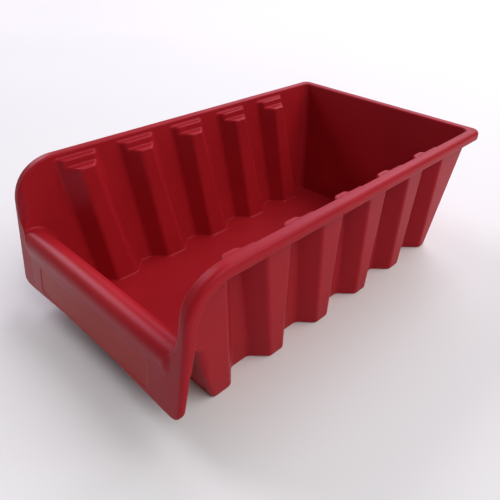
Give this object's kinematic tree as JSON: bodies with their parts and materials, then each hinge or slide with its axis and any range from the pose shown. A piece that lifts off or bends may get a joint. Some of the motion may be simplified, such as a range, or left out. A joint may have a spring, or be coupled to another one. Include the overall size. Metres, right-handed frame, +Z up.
{
  "type": "trough feeder",
  "caption": "Open-fronted stacking trough with ribbed sides, stepped stacking ledges, a turned-out rim, a hollow front roll and a label apron.",
  "frame": {"origin": "centre of the whole part's footprint, on the surface it stands on", "axes": "+X to the right across the width, +Y from the scoop front to the rear wall, +Z up"},
  "size_m": [0.205, 0.3154, 0.105],
  "materials": {
    "red_plastic": "injection-moulded polypropylene, satin gloss with a fine moulded grain"
  },
  "bodies": {
    "root": {"floor_panel": "red_plastic", "back_wall": "red_plastic", "front_wall": "red_plastic", "front_roll": "red_plastic", "front_apron": "red_plastic", "left_wall_panels": "red_plastic", "right_wall_panels": "red_plastic", "left_wall_ribs": "red_plastic", "right_wall_ribs": "red_plastic", "left_stacking_ledges": "red_plastic", "right_stacking_ledges": "red_plastic", "left_rim": "red_plastic", "right_rim": "red_plastic", "rear_rim": "red_plastic", "left_front_flange": "red_plastic", "right_front_flange": "red_plastic"}
  },
  "joints": []
}
